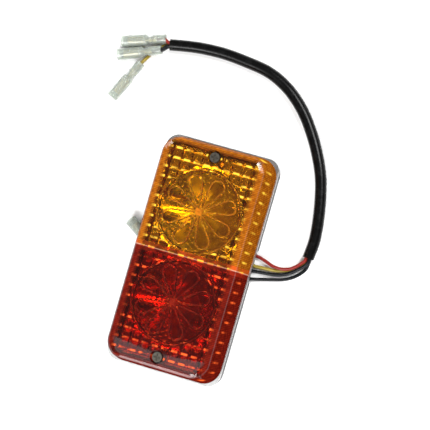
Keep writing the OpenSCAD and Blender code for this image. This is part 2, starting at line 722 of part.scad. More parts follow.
module lens_screw_red() color("silver") lens_screw(-screw_y);
module screw_washers() color([0.2, 0.2, 0.2]) {
    for (s = [-1, 1]) translate([0, s * screw_y, pocket_z]) difference() {
        cylinder(r = washer_r, h = washer_t);
        translate([0, 0, -through]) cylinder(r = screw_r + free, h = washer_t + 2 * through);
    }
}

// Wiring tail
module wire_red() color("firebrick") tube(red_route, wire_r, 8);
module wire_yellow() color([0.62, 0.6, 0.2]) tube(yellow_route, wire_r, 8);
module wire_black() color([0.05, 0.05, 0.05]) tube(black_route, wire_r, 8);
module wire_black_second() color([0.05, 0.05, 0.05]) tube(second_black_route, wire_r, 8);
module cable_sleeve() color([0.05, 0.05, 0.05]) tube(sleeve_route, sleeve_r, 12);
module tail_red() color("firebrick") tube(red_tail_route, wire_r, 8);
module tail_black() color([0.05, 0.05, 0.05]) tube(black_tail_route, wire_r, 8);
module tail_black_second() color([0.05, 0.05, 0.05]) tube(second_black_tail_route, wire_r, 8);
module tail_yellow() color("gold") tube(yellow_tail_route, wire_r, 8);
module side_lead() color([0.05, 0.05, 0.05]) tube(side_route, wire_r, 8);
module connector(ends) {
    slope_start = connector_wide_l;
    waist = [slope_start + 1.5, slope_start + 3];
    tail_start = slope_start + 4.5;
    t = connector_t;
    along(ends) rotate_extrude() polygon([
        [connector_r - t, 0], [connector_r, 0], [connector_r, slope_start], [waist_r, waist[0]],
        [waist_r, waist[1]], [tail_r, tail_start], [tail_r, connector_l], [tail_r - t, connector_l],
        [tail_r - t, tail_start], [waist_r - t, waist[1]], [waist_r - t, waist[0]],
        [connector_r - t, slope_start - t]
    ]);
}
module terminal(ends) {
    mouth = 4;
    barrel_end = connector_wide_l - 2;
    along(ends) rotate_extrude() polygon([
        [terminal_bore_r, mouth], [terminal_bore_r + terminal_t, mouth],
        [terminal_bore_r + terminal_t, barrel_end], [waist_r - connector_t - 0.2, barrel_end + 1],
        [waist_r - connector_t - 0.2, crimp_end - 2.5], [tail_r - connector_t - 0.3, crimp_end - 2],
        [tail_r - connector_t - 0.3, crimp_end], [0, crimp_end], [0, barrel_end - 0.5],
        [terminal_bore_r, barrel_end - 0.5]
    ]);
}
module connector_red() color([0.85, 0.9, 0.84, 0.7]) connector(red_ends);
module connector_black() color([0.85, 0.9, 0.84, 0.7]) connector(black_ends);
module connector_yellow() color([0.85, 0.9, 0.84, 0.7]) connector(yellow_ends);
module connector_side() color([0.85, 0.9, 0.84, 0.7]) connector(side_ends);
module terminal_red() color("silver") terminal(red_ends);
module terminal_black() color("silver") terminal(black_ends);
module terminal_yellow() color("silver") terminal(yellow_ends);
module terminal_side() color("silver") terminal(side_ends);

base_housing();
mounting_gasket();
mounting_inserts();
lamp_plate();
plate_screws();
lens_posts();
lens_seal();
reflector();
chamber_divider();
wire_grommet();
earth_tag();
earth_rivet();
amber_socket();
red_socket();
socket_rivets();
amber_insulator();
red_insulator();
amber_contact();
red_contact();
amber_contact_spring();
red_contact_spring();
amber_contact_tag();
red_contact_tag();
amber_lead();
red_lead();
earth_lead();
amber_bulb_cap();
amber_bulb_glass();
amber_bulb_filament();
red_bulb_cap();
red_bulb_glass();
red_bulb_filament();
amber_lens();
red_lens();
lens_screw_amber();
lens_screw_red();
screw_washers();
wire_red();
wire_yellow();
wire_black();
wire_black_second();
cable_sleeve();
tail_red();
tail_black();
tail_black_second();
tail_yellow();
side_lead();
connector_red();
connector_black();
connector_yellow();
connector_side();
terminal_red();
terminal_black();
terminal_yellow();
terminal_side();
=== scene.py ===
"""Looks of a rectangular trailer rear lamp: amber and red lens, bright plate, black base and wiring tail.

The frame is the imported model's: the origin is the centre of the mounting face, +Z points out of the lens,
+Y to the amber end and +X to the side where the cable leaves. Lengths are in metres, apart from the routes,
the lens pattern and the blocks, which are in millimetres, as their classes say.
"""

from __future__ import annotations

import logging
import math
from dataclasses import dataclass, field
from enum import Enum
from typing import Any, Sequence
import bpy  # noqa: E402
import numpy as np  # noqa: E402
from mathutils import Matrix, Vector  # noqa: E402


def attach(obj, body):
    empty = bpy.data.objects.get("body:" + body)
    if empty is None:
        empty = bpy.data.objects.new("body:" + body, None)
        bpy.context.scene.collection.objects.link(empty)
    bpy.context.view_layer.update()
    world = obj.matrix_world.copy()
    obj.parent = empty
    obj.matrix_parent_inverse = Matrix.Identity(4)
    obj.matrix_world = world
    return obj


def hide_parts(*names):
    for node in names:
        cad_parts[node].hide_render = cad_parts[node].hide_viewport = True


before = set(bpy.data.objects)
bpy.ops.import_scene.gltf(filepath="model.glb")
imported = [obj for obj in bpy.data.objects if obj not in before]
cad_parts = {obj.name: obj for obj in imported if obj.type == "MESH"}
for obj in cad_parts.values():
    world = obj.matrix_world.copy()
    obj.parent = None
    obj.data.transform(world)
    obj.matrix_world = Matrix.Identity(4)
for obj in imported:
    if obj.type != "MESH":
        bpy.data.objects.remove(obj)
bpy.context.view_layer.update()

log = logging.getLogger("lamp")
MM = 0.001
DOUBLE_GAP = 0.002 * MM
Point = Sequence[float]
Colour = tuple[float, float, float]


class Chamber(Enum):
    """The two halves of the lamp."""

    AMBER = "amber"
    RED = "red"

    @property
    def side(self) -> int:
        """Which way along Y this half lies."""
        return 1 if self is Chamber.AMBER else -1


class Conductor(Enum):
    """The free wires of the tail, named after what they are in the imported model."""

    RED = "red"
    YELLOW = "yellow"
    BLACK = "black"
    SECOND_BLACK = "black_second"


# --------------------------------------------------------------------------- shader tools


class Val:
    """A node socket that takes part in Python expressions."""

    def __init__(self, shader: Shader, socket: bpy.types.NodeSocket) -> None:
        """Keeps the socket and the shader that it belongs to."""
        self.shader = shader
        self.socket = socket

    def _math(self, operation: str, first: Any, second: Any = None) -> Val:
        """Adds one Math node.

        Args:
            operation: the node's operation.
            first: its first value, a Val or a number.
            second: its second value, if it has one.

        Returns:
            The node's result.
        """
        inputs = {0: first} if second is None else {0: first, 1: second}
        return self.shader.node("ShaderNodeMath", inputs, {"operation": operation})

    def __add__(self, other: Any) -> Val:
        """Sum."""
        return self._math("ADD", self, other)

    __radd__ = __add__

    def __sub__(self, other: Any) -> Val:
        """Difference."""
        return self._math("SUBTRACT", self, other)

    def __rsub__(self, other: Any) -> Val:
        """Difference, turned round."""
        return self._math("SUBTRACT", other, self)

    def __mul__(self, other: Any) -> Val:
        """Product."""
        return self._math("MULTIPLY", self, other)

    __rmul__ = __mul__

    def __truediv__(self, other: Any) -> Val:
        """Quotient."""
        return self._math("DIVIDE", self, other)

    def clamp(self) -> Val:
        """The value held between 0 and 1."""
        return self._math("MINIMUM", self._math("MAXIMUM", self, 0.0), 1.0)

    def patches(self, gain: float, cut: float) -> Val:
        """The value times a gain, less a cut, held between 0 and 1: noise becomes patches."""
        return (self * gain - cut).clamp()

    def sine(self) -> Val:
        """Sine of the value."""
        return self._math("SINE", self)

    def cosine(self) -> Val:
        """Cosine of the value."""
        return self._math("COSINE", self)

    def root(self) -> Val:
        """Square root of the value."""
        return self._math("SQRT", self)

    def size(self) -> Val:
        """The value without its sign."""
        return self._math("ABSOLUTE", self)

    def above(self, level: Any) -> Val:
        """1 where the value is above a level, else 0."""
        return self._math("GREATER_THAN", self, level)

    def most(self, other: Any) -> Val:
        """The larger of two values."""
        return self._math("MAXIMUM", self, other)

    def folded(self, half: float) -> Val:
        """Distance from the nearest multiple of twice a length."""
        return self._math("PINGPONG", self, half)

    def angle(self, across: Val) -> Val:
        """Angle of the point whose height is this value."""
        return self._math("ARCTAN2", self, across)

    def near(self, level: float, width: float) -> Val:
        """1 at a level, falling to 0 a width away from it."""
        return (1.0 - (self - level).size() / width).clamp()


class Shader:
    """One material's node tree, with a Principled shader ready to be fed."""

    def __init__(self, name: str) -> None:
        """Makes the material.

        Args:
            name: the material's name.
        """
        self.material = bpy.data.materials.new(name)
        self.material.use_nodes = True
        self.tree = self.material.node_tree
        self.bsdf = self.tree.nodes["Principled BSDF"]

    def node(
        self,
        kind: str,
        inputs: dict[Any, Any] | None = None,
        settings: dict[str, Any] | None = None,
        out: Any = 0,
    ) -> Val:
        """Adds a node.

        Args:
            kind: the node's type.
            inputs: its sockets' values or links, by name or number.
            settings: its own settings, set before its sockets.
            out: the output that is handed back, by name or number.

        Returns:
            The chosen output.
        """
        made = self.tree.nodes.new(kind)
        for key, value in (settings or {}).items():
            setattr(made, key, value)
        for key, value in (inputs or {}).items():
            self.feed(made.inputs[key], value)
        return Val(self, made.outputs[out])

    def feed(self, socket: bpy.types.NodeSocket, value: Any) -> None:
        """Gives a socket a value or a link.

        Args:
            socket: the socket.
            value: a Val to link, a colour or a number.
        """
        if isinstance(value, Val):
            self.tree.links.new(value.socket, socket)
        elif isinstance(value, tuple) and len(value) == 3 and socket.type == "RGBA":
            socket.default_value = (*value, 1.0)
        else:
            socket.default_value = value

    def set(self, **values: Any) -> None:
        """Feeds the Principled shader.

        Args:
            values: its sockets' values or links, with underscores for spaces in a name.
        """
        for key, value in values.items():
            self.feed(self.bsdf.inputs[key.replace("_", " ")], value)

    def place(self) -> Val:
        """Object coordinates, in metres."""
        return self.node("ShaderNodeTexCoord", out="Object")

    def axes(self) -> list[Val]:
        """The place along X, Y and Z, in metres."""
        split = self.node("ShaderNodeSeparateXYZ", {0: self.place()}).socket.node
        return [Val(self, split.outputs[axis]) for axis in "XYZ"]

    def noise(self, scale: float, detail: float = 3.0, stretch: Point | None = None) -> Val:
        """Noise over the object.

        Args:
            scale: waves per metre.
            detail: octaves.
            stretch: scale along each axis, if they differ.

        Returns:
            A value around a half.
        """
        where = self.place()
        if stretch is not None:
            where = self.node("ShaderNodeMapping", {"Vector": where, "Scale": tuple(stretch)})
        return self.node("ShaderNodeTexNoise", {"Vector": where, "Scale": scale, "Detail": detail})

    def blend(self, factor: Any, first: Any, second: Any) -> Val:
        """Mixes two colours by a factor."""
        return self.node(
            "ShaderNodeMix", {0: factor, 6: first, 7: second}, {"data_type": "RGBA"}, out=2
        )

    def bump(self, height: Val, distance: float, strength: float = 1.0) -> None:
        """Makes the surface uneven by a height map.

        Args:
            height: the height, from 0 to 1.
            distance: how high 1 is, in metres.
            strength: how much of it shows.
        """
        normal = self.node(
            "ShaderNodeBump", {"Height": height, "Distance": distance, "Strength": strength}
        )
        self.feed(self.bsdf.inputs["Normal"], normal)


@dataclass(frozen=True)
class Finish:
    """A finish that a material is made from."""

    name: str

    def material(self) -> bpy.types.Material:
        """The finish's material, made once."""
        if self.name not in bpy.data.materials:
            self.build(Shader(self.name))
        return bpy.data.materials[self.name]

    def build(self, shader: Shader) -> None:
        """Fills the shader in."""


@dataclass(frozen=True)
class MouldedPlastic(Finish):
    """Opaque moulded plastic or rubber with fine grain and a little dust."""

    colour: Colour = (0.03, 0.03, 0.032)
    dust: Colour = (0.12, 0.12, 0.12)
    rough: float = 0.45
    grain: float = 0.04 * MM
    grain_scale: float = 2500.0
    dust_scale: float = 45.0
    dust_share: float = 0.22
    dust_rough: float = 0.12

    def build(self, shader: Shader) -> None:
        """Colour drifts towards dust in broad patches, and the grain is fine.

        Args:
            shader: the shader to fill in.
        """
        dusty = shader.noise(self.dust_scale, 4.0).patches(3.2, 1.35)
        fine = shader.noise(self.grain_scale, 2.0)
        shader.set(
            Base_Color=shader.blend(dusty * self.dust_share, self.colour, self.dust),
            Roughness=(dusty * self.dust_rough + self.rough).clamp(),
        )
        shader.bump(fine, self.grain)


@dataclass(frozen=True)
class PlatedMetal(Finish):
    """Bright plated or plain metal with rubbed streaks."""

    colour: Colour = (0.86, 0.87, 0.86)
    dull: Colour = (0.6, 0.61, 0.6)
    rough: float = 0.22
    streaks: Point = (300.0, 30.0, 300.0)
    spot_scale: float = 140.0
    spot_share: float = 0.6
    relief: float = 0.02 * MM

    def build(self, shader: Shader) -> None:
        """Dull spots drive the colour, and streaks the roughness and a slight relief.

        Args:
            shader: the shader to fill in.
        """
        streak = shader.noise(1.0, 5.0, self.streaks)
        spots = shader.noise(self.spot_scale, 3.0).patches(4.0, 2.1)
        shader.set(
            Metallic=1.0,
            Base_Color=shader.blend(spots * self.spot_share, self.colour, self.dull),
            Roughness=(streak * 0.18 + spots * 0.12 + (self.rough - 0.08)).clamp(),
        )
        shader.bump(streak, self.relief)


@dataclass(frozen=True)
class TintedClear(Finish):
    """Clear coloured plastic that light passes through."""

    colour: Colour = (1.0, 0.42, 0.02)
    rough: float = 0.03
    through: float = 1.0
    index: float = 1.49
    scuff: float = 0.10
    scuff_run: Point = (700.0, 90.0, 200.0)
    waviness: float = 0.12 * MM

    def build(self, shader: Shader) -> None:
        """A tinted body with light scuffs in its polish.

        Args:
            shader: the shader to fill in.
        """
        scuffs = shader.noise(1.0, 6.0, self.scuff_run).patches(3.0, 1.6)
        shader.set(
            Base_Color=self.colour,
            Transmission_Weight=self.through,
            IOR=self.index,
            Roughness=(scuffs * self.scuff + self.rough).clamp(),
        )
        shader.bump(shader.noise(60.0, 2.0), self.waviness, 0.5)


@dataclass(frozen=True)
class LensPlastic(Finish):
    """Coloured lens plastic: clear over the pattern, deeper and ribbed towards its edges, with painted
    glints, painted highlights and painted shade in its opaque body.
    """

    clear: Colour = (1.0, 0.42, 0.02)
    body: Colour = (0.50, 0.135, 0.008)
    # painted glint colour, for the glints on the prism edges and walls
    painted_glint: Colour = (0.93, 0.50, 0.03)
    # painted highlight colour for the raised lines and the wall ribs
    line: Colour = (0.75, 0.30, 0.02)
    joint: Colour = (0.55, 0.07, 0.01)
    # painted shade: the body's darker colour inside the ring, for the dark chamber seen through the lens
    painted_chamber_shade: Colour = (0.10, 0.030, 0.002)
    seam: Colour = (0.62, 0.36, 0.26)
    haze: float = 0.10
    index: float = 1.49
    dash_cover: float = 0.85
    shade_cover: float = 0.55
    joint_cover: float = 0.45
    joint_width: float = 2.8 * MM
    seam_half: float = 0.5 * MM
    band_x: float = 26.4 * MM
    band_y: float = 64.6 * MM
    band_fade: float = 2.6 * MM
    face_z: float = 36.4 * MM
    hub_y: float = 28 * MM
    hub_half: float = 1.9 * MM
    brick: float = 6.2 * MM
    dash_half: float = 1.1 * MM
    dash_gap: float = 1.2 * MM
    spot_half: float = 0.9 * MM
    spot_z: float = 27 * MM
    spot_reach: float = 7 * MM
    ring_r: float = 25.4 * MM
    ring_half: float = 0.6 * MM
    ring_room: float = 1.0 * MM
    petals: int = 8
    petal_reach: float = 18.2 * MM
    petal_r: float = 4.2 * MM
    line_half: float = 0.5 * MM
    rib_step: float = 1.05 * MM
    rib_relief: float = 0.12 * MM
    # painted shade across the pattern: where it starts and how far it grows
    shade_from: float = -4 * MM
    shade_width: float = 16 * MM

    def flower(self, x: Val, along: Val) -> tuple[Val, Val]:
        """The raised lines of the pattern.

        Args:
            x: place across the lamp.
            along: place away from the joint.

        Returns:
            The mask of the lines, and the distance from the hub.
        """
        v = along - self.hub_y
        rho = (x * x + v * v).root()
        step = 2 * math.pi / self.petals
        turn = (v.angle(x) - step / 2).folded(step / 2)
        px, py = rho * turn.cosine(), rho * turn.sine()
        half = math.asin(self.petal_r / self.petal_reach)
        outer = (px * math.cos(half) + py * math.sin(half)).above(self.petal_reach * math.cos(half))
        dx = px - self.petal_reach
        tip = (dx * dx + py * py).root() - self.petal_r
        flank = py * math.cos(half) - px * math.sin(half)
        edge = tip * outer + flank * (1.0 - outer)
        lines = edge.near(0.0, self.line_half)
        hub = 1.0 - x.size().most(v.size()).above(self.hub_half)
        ring = rho.near(self.ring_r, self.ring_half) * 0.6
        return lines.most(hub).most(ring), rho

    def band(self, x: Val, along: Val) -> Val:
        """The mask of the walls round the pattern."""
        flanks = ((x.size() - self.band_x) / self.band_fade).clamp()
        return flanks.most(((along - self.band_y) / self.band_fade).clamp())

    def painted_glint_dashes(self, x: Val, y: Val, drift: Val) -> Val:
        """Painted glints: dashes along the edges of the bricks, broken up by a noise."""
        rows = (y.folded(self.brick / 2).near(0.0, self.dash_half) * 1.6).clamp()
        return rows * x.folded(self.brick / 2).above(self.dash_gap) * drift.patches(4.0, 1.3)

    def spots(self, y: Val, z: Val, band: Val, drift: Val) -> Val:
        """Painted glints: upright spots half way up the walls, broken up by a noise."""
        rows = y.folded(self.brick / 2).near(0.0, self.spot_half) * z.near(self.spot_z, self.spot_reach)
        return (rows * band * 1.8).clamp() * drift.patches(3.4, 1.0)

    def build(self, shader: Shader) -> None:
        """Mixes the clear plastic with its deeper body by place; the body carries painted shade, painted
        glints and painted highlights.

        Args:
            shader: the shader to fill in.
        """
        x, y, z = shader.axes()
        along = y.size()
        lines, rho = self.flower(x, along)
        drift = shader.noise(150.0, 3.0)
        band = self.band(x, along)
        inside = 1.0 - rho.above(self.ring_r)
        glint_dash = self.painted_glint_dashes(x, y, drift) * rho.above(self.ring_r + self.ring_room) * (1.0 - band)
        spots = self.spots(y, z, band, drift)
        seam = along.near(0.0, self.seam_half) * 0.7
        joint = (1.0 - along.above(self.joint_width)) * drift.patches(3.0, 0.8)
        ribs = (y * (2 * math.pi / self.rib_step)).sine() * 0.5 + 0.5
        uneven = shader.noise(420.0, 3.0).patches(3.0, 1.0)
        # painted highlight: lighter stripes along the wall ribs, in patches, take the line colour
        colour = shader.blend((ribs * uneven * 0.75 + drift * 0.2).clamp(), self.body, self.line)
        # painted shade: inside the ring the body darkens, for the dark chamber behind the lens
        colour = shader.blend(inside * 0.8, colour, self.painted_chamber_shade)
        # painted highlight: the flower's raised lines, hub and ring take the line colour
        colour = shader.blend((lines * 0.95).clamp(), colour, self.line)
        colour = shader.blend(joint * 0.8, colour, self.joint)
        colour = shader.blend(seam, colour, self.seam)
        # painted glints: the dashes and spots take the glint colour
        colour = shader.blend((glint_dash + spots).clamp(), colour, self.painted_glint)
        scuffs = shader.noise(1.0, 6.0, (700.0, 60.0, 200.0)).patches(3.0, 1.7)
        rough = (scuffs * 0.16 + 0.03).clamp()
        shader.set(Base_Color=colour, Roughness=rough, Specular_IOR_Level=0.0, Coat_Roughness=0.05,
                   Coat_Weight=z.above(self.face_z) * 0.4)
        shader.bump(ribs * band, self.rib_relief, 0.8)
        see = shader.node("ShaderNodeBsdfPrincipled", {
            "Base Color": self.clear, "Roughness": rough, "IOR": self.index, "Transmission Weight": 1.0})
        # painted shade: towards +X inside the ring the lens turns, in patches, to its dark opaque body,
        # standing for the dark side of the reflector seen through it
        shade = ((x - self.shade_from) / self.shade_width).clamp() * inside * drift.patches(2.6, 0.7)
        cover = band.most(lines * drift.patches(1.6, 0.35)).most(seam)
        for share in (glint_dash * self.dash_cover, drift * self.haze, shade * self.shade_cover,
                      joint * self.joint_cover):
            cover = cover.most(share)
        mixed = shader.node("ShaderNodeMixShader", {
            0: cover.clamp(), 1: see, 2: Val(shader, shader.bsdf.outputs[0])})
        shader.feed(shader.tree.nodes["Material Output"].inputs["Surface"], mixed)


@dataclass(frozen=True)
class Insulation(Finish):
    """Soft PVC of a wire or sleeve: faint waves, fine grain and a sheen."""

    colour: Colour = (0.02, 0.02, 0.022)
    worn: Colour = (0.06, 0.06, 0.065)
    rough: float = 0.3
    gloss: float = 0.4
    rubbed_share: float = 0.5
    waviness: float = 0.06 * MM

    def build(self, shader: Shader) -> None:
        """Faint waves and rubbed patches.

        Args:
            shader: the shader to fill in.
        """
        rubbed = shader.noise(220.0, 4.0).patches(3.0, 1.4)
        waves = shader.noise(900.0, 3.0)
        shader.set(
            Base_Color=shader.blend(rubbed * self.rubbed_share, self.colour, self.worn),
            Roughness=(rubbed * 0.12 + self.rough).clamp(),
            Specular_IOR_Level=self.gloss,
        )
        shader.bump(waves, self.waviness, 0.6)


AMBER_LENS = LensPlastic("amber_lens", clear=(1.0, 0.58, 0.02), body=(0.15, 0.033, 0.002),
                         line=(0.58, 0.18, 0.010), painted_glint=(1.0, 0.60, 0.05))
RED_LENS = LensPlastic("red_lens", clear=(0.70, 0.062, 0.010), body=(0.055, 0.003, 0.002),
                       painted_glint=(0.85, 0.11, 0.02), line=(0.24, 0.015, 0.006), joint=(0.25, 0.015, 0.005),
                       painted_chamber_shade=(0.035, 0.002, 0.002), haze=0.2)
MILKY = TintedClear("milky_sleeve", (0.62, 0.67, 0.61), 0.18, through=0.72, index=1.4, scuff=0.2)
CLEAR_GLASS = TintedClear("bulb_glass", (1.0, 1.0, 1.0), 0.0, index=1.5, scuff=0.02)
BLACK_PLASTIC = MouldedPlastic("black_plastic")
FOAM = MouldedPlastic("foam_rubber", (0.05, 0.05, 0.05), (0.1, 0.1, 0.1), 0.85, 0.2 * MM, 1600.0)
SOFT_RUBBER = MouldedPlastic("soft_rubber", (0.03, 0.03, 0.03), (0.08, 0.08, 0.08), 0.6)
FIBRE = MouldedPlastic("fibre", (0.24, 0.12, 0.06), (0.32, 0.2, 0.12), 0.7)
BRIGHT_PLATE = PlatedMetal("bright_plate")
SCREW_STEEL = PlatedMetal("screw_steel", (0.15, 0.135, 0.11), (0.05, 0.045, 0.035), 0.34,
                          (900.0, 900.0, 900.0))
MIRROR = PlatedMetal("reflector_mirror", (0.93, 0.93, 0.92), (0.8, 0.8, 0.8), 0.12)
BRASS = PlatedMetal("brass", (0.80, 0.58, 0.28), (0.5, 0.36, 0.18), 0.28)
TINNED = PlatedMetal("tinned", (0.78, 0.77, 0.72), (0.5, 0.48, 0.42), 0.25)
TUNGSTEN = PlatedMetal("filament", (0.3, 0.3, 0.3), (0.2, 0.2, 0.2), 0.4)
PVC = {
    Conductor.RED: Insulation("pvc_red", (0.19, 0.013, 0.009), (0.26, 0.03, 0.02), gloss=0.25),
    Conductor.YELLOW: Insulation("pvc_yellow", (0.26, 0.19, 0.015), (0.31, 0.25, 0.07), gloss=0.25),
    Conductor.BLACK: Insulation("pvc_black", (0.005, 0.006, 0.008), (0.013, 0.015, 0.018), gloss=0.15),
    Conductor.SECOND_BLACK: Insulation("pvc_black_second", (0.004, 0.005, 0.006), (0.011, 0.012, 0.014),
                                       gloss=0.15),
}
SLEEVE_PVC = Insulation("sleeve_pvc", (0.002, 0.002, 0.002), (0.006, 0.006, 0.006), 0.24, 0.13)


# --------------------------------------------------------------------------- modelling tools


class Bench:
    """Modelling steps that every sub-assembly uses."""

    @staticmethod
    def clear() -> None:
        """Leaves edit mode and deselects everything."""
        if bpy.context.object and bpy.context.object.mode != "OBJECT":
            bpy.ops.object.mode_set(mode="OBJECT")
        bpy.ops.object.select_all(action="DESELECT")

    @staticmethod
    def take(thing: bpy.types.Object) -> None:
        """Makes one object the only one selected, and active.

        Args:
            thing: the object.
        """
        Bench.clear()
        thing.hide_set(False)
        thing.select_set(True)
        bpy.context.view_layer.objects.active = thing

    @staticmethod
    def edit(thing: bpy.types.Object) -> None:
        """Goes into edit mode on one object, with all of it selected.

        Args:
            thing: the object.
        """
        Bench.take(thing)
        bpy.ops.object.mode_set(mode="EDIT")
        bpy.ops.mesh.select_all(action="SELECT")

    @staticmethod
    def rest(thing: bpy.types.Object) -> bpy.types.Object:
        """Puts an object's place into its mesh, so that it sits at the origin.

        Args:
            thing: the object.

        Returns:
            The same object.
        """
        Bench.take(thing)
        bpy.ops.object.transform_apply(location=True, rotation=True, scale=True)
        return thing

    @staticmethod
    def mend(thing: bpy.types.Object, gap: float = DOUBLE_GAP) -> None:
        """Merges doubled vertices and turns faces outwards.

        Args:
            thing: the mesh.
            gap: how far apart two vertices may be and still count as one.
        """
        Bench.edit(thing)
        bpy.ops.mesh.remove_doubles(threshold=gap)
        bpy.ops.mesh.normals_make_consistent(inside=False)
        Bench.clear()

    @staticmethod
    def modify(thing: bpy.types.Object, kind: str, **settings: Any) -> None:
        """Adds a modifier and applies it.

        Args:
            thing: the mesh that is changed.
            kind: the modifier's type.
            settings: the modifier's settings.
        """
        Bench.take(thing)
        modifier = thing.modifiers.new(kind.lower(), kind)
        for key, value in settings.items():
            setattr(modifier, key, value)
        bpy.ops.object.modifier_apply(modifier=modifier.name)

    @staticmethod
    def combine(thing: bpy.types.Object, tool: bpy.types.Object, operation: str) -> None:
        """Joins, cuts or trims one closed mesh with another, which is then thrown away.

        Args:
            thing: the mesh that is changed.
            tool: the mesh that changes it.
            operation: UNION, DIFFERENCE or INTERSECT.
        """
        Bench.modify(thing, "BOOLEAN", operation=operation, object=tool, solver="MANIFOLD")
        bpy.data.objects.remove(tool, do_unlink=True)

    @staticmethod
    def smooth(thing: bpy.types.Object, degrees: float = 32.0) -> None:
        """Shades smooth across edges that turn by less than an angle."""
        Bench.take(thing)
        bpy.ops.object.shade_smooth_by_angle(angle=math.radians(degrees))

    @staticmethod
    def copy_node(node: str, name: str, degrees: float = 32.0) -> bpy.types.Object:
        """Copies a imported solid, merges its loose triangles and shades it.

        Args:
            node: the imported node.
            name: the new piece's name.
            degrees: the sharpest angle that is still shaded smooth.

        Returns:
            The new piece, which stands for the node.
        """
        made = bpy.data.objects.new(name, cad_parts[node].data.copy())
        bpy.context.scene.collection.objects.link(made)
        made.data.materials.clear()
        Bench.edit(made)
        bpy.ops.mesh.remove_doubles(threshold=DOUBLE_GAP)
        bpy.ops.mesh.customdata_custom_splitnormals_clear()
        Bench.smooth(made, degrees)
        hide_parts(node)
        return made

    @staticmethod
    def dress(thing: bpy.types.Object, finish: Finish, body: str, slot: str) -> bpy.types.Object:
        """Gives a new piece its finish and its body, and reports it.

        Args:
            thing: the piece.
            finish: the finish of all its faces.
            body: the body that it rides on.
            slot: the record's material slot; not used.

        Returns:
            The piece.
        """
        thing.data.materials.clear()
        thing.data.materials.append(finish.material())
        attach(thing, body)
        log.info("%s on %s", thing.name, body)
        return thing


def through_points(points: Sequence[Point], step: float = 1.2 * MM) -> list[Vector]:
    """A smooth line through points, evenly close.

    Args:
        points: the points it goes through, in metres.
        step: the longest gap between the points handed back.

    Returns:
        Points on a centripetal spline.
    """
    p = [Vector(q) for q in points]
    ends = [2 * p[0] - p[1], *p, 2 * p[-1] - p[-2]]
    line: list[Vector] = []
    for a, b, c, d in zip(ends, ends[1:], ends[2:], ends[3:]):
        t1 = max((b - a).length, 1e-9) ** 0.5
        t2 = t1 + max((c - b).length, 1e-9) ** 0.5
        t3 = t2 + max((d - c).length, 1e-9) ** 0.5
        count = max(2, math.ceil((c - b).length / step))
        for k in range(count):
            t = t1 + (t2 - t1) * k / count
            ab = a.lerp(b, t / t1)
            bc = b.lerp(c, (t - t1) / (t2 - t1))
            cd = c.lerp(d, (t - t2) / (t3 - t2))
            abc = ab.lerp(bc, t / t2)
            bcd = bc.lerp(cd, (t - t1) / (t3 - t1))
            line.append(abc.lerp(bcd, (t - t1) / (t2 - t1)))
    line.append(p[-1])
    return line


def length_of(line: Sequence[Vector]) -> float:
    """Length of a line of points."""
    return sum((b - a).length for a, b in zip(line, line[1:]))


# --------------------------------------------------------------------------- studio


@dataclass
class Studio:
    """Camera, floor and soft lights.

    The roll is in degrees, the focal length and film width in millimetres, and light powers in watts.
    """

    eye: Point = (0.18823, -0.01031, 1.07741)
    aim: Point = (0.00359, 0.03027, 0.0)
    roll: float = -61.677
    focal_length: float = 148.4
    film_width: float = 36.0
    far_clip: float = 30.0
    floor_size: float = 6.0
    floor_gap: float = 0.1 * MM
    room_light: float = 0.15
    glare_edges: tuple[float, ...] = (-0.11, -0.14, -0.17, -0.20)
    glare_far: float = -0.5
    glare_x: float = -0.22
    glare_z: float = 1.1
    glare_width: float = 0.36
    glare_power: float = 1.7

    def build_camera(self) -> None:
        """Places the camera."""
        data = bpy.data.cameras.new("camera")
        data.lens, data.sensor_width, data.clip_end = self.focal_length, self.film_width, self.far_clip
        camera = bpy.data.objects.new("camera", data)
        bpy.context.scene.collection.objects.link(camera)
        look = (Vector(self.aim) - Vector(self.eye)).to_track_quat("-Z", "Y").to_matrix().to_4x4()
        roll = Matrix.Rotation(math.radians(self.roll), 4, "Z")
        camera.matrix_world = Matrix.Translation(Vector(self.eye)) @ look @ roll
        bpy.context.scene.camera = camera

    def build_floor(self) -> None:
        """Lays a plain pale floor."""
        Bench.clear()
        bpy.ops.mesh.primitive_plane_add(size=self.floor_size, location=(0, 0, -self.floor_gap))
        floor = Bench.rest(bpy.context.object)
        floor.name = "floor"
        shader = Shader("floor_paper")
        shader.set(Base_Color=(0.93, 0.93, 0.93), Roughness=0.9)
        floor.data.materials.append(shader.material)

    def light(self, name: str, place: Point, size: tuple[float, float], power: float,
              aim: Point = (0, 0, 0)) -> None:
        """Hangs one softbox.

        Args:
            name: its name.
            place: where it hangs.
            size: its width and height.
            power: its power in watts.
            aim: the point it faces.
        """
        data = bpy.data.lights.new(name, "AREA")
        data.shape, data.size, data.size_y, data.energy = "RECTANGLE", *size, power
        lamp = bpy.data.objects.new(name, data)
        bpy.context.scene.collection.objects.link(lamp)
        lamp.location = place
        lamp.rotation_euler = (Vector(aim) - Vector(place)).to_track_quat("-Z", "Y").to_euler()

    def build_lights(self) -> None:
        """A dim room, three soft lights round the lamp and stepped ones for glare on the red end."""
        scene = bpy.context.scene
        scene.view_settings.view_transform = "Standard"
        world = bpy.data.worlds.new("room")
        scene.world = world
        world.use_nodes = True
        room = world.node_tree.nodes["Background"].inputs
        room["Color"].default_value = (1.0, 1.0, 1.0, 1.0)
        room["Strength"].default_value = self.room_light
        self.light("key", (-0.06, -0.85, 1.0), (0.62, 0.5), 20.0)
        self.light("fill", (0.52, 0.68, 1.04), (0.55, 0.55), 20.0)
        self.light("back", (-0.9, 0.5, 0.9), (0.4, 0.3), 5.0)
        for near_edge in self.glare_edges:
            length = near_edge - self.glare_far
            middle = (near_edge + self.glare_far) / 2
            self.light("glare", (self.glare_x, middle, self.glare_z), (self.glare_width, length),
                       self.glare_power * length, (self.glare_x, middle, 0.0))


# --------------------------------------------------------------------------- wiring tail


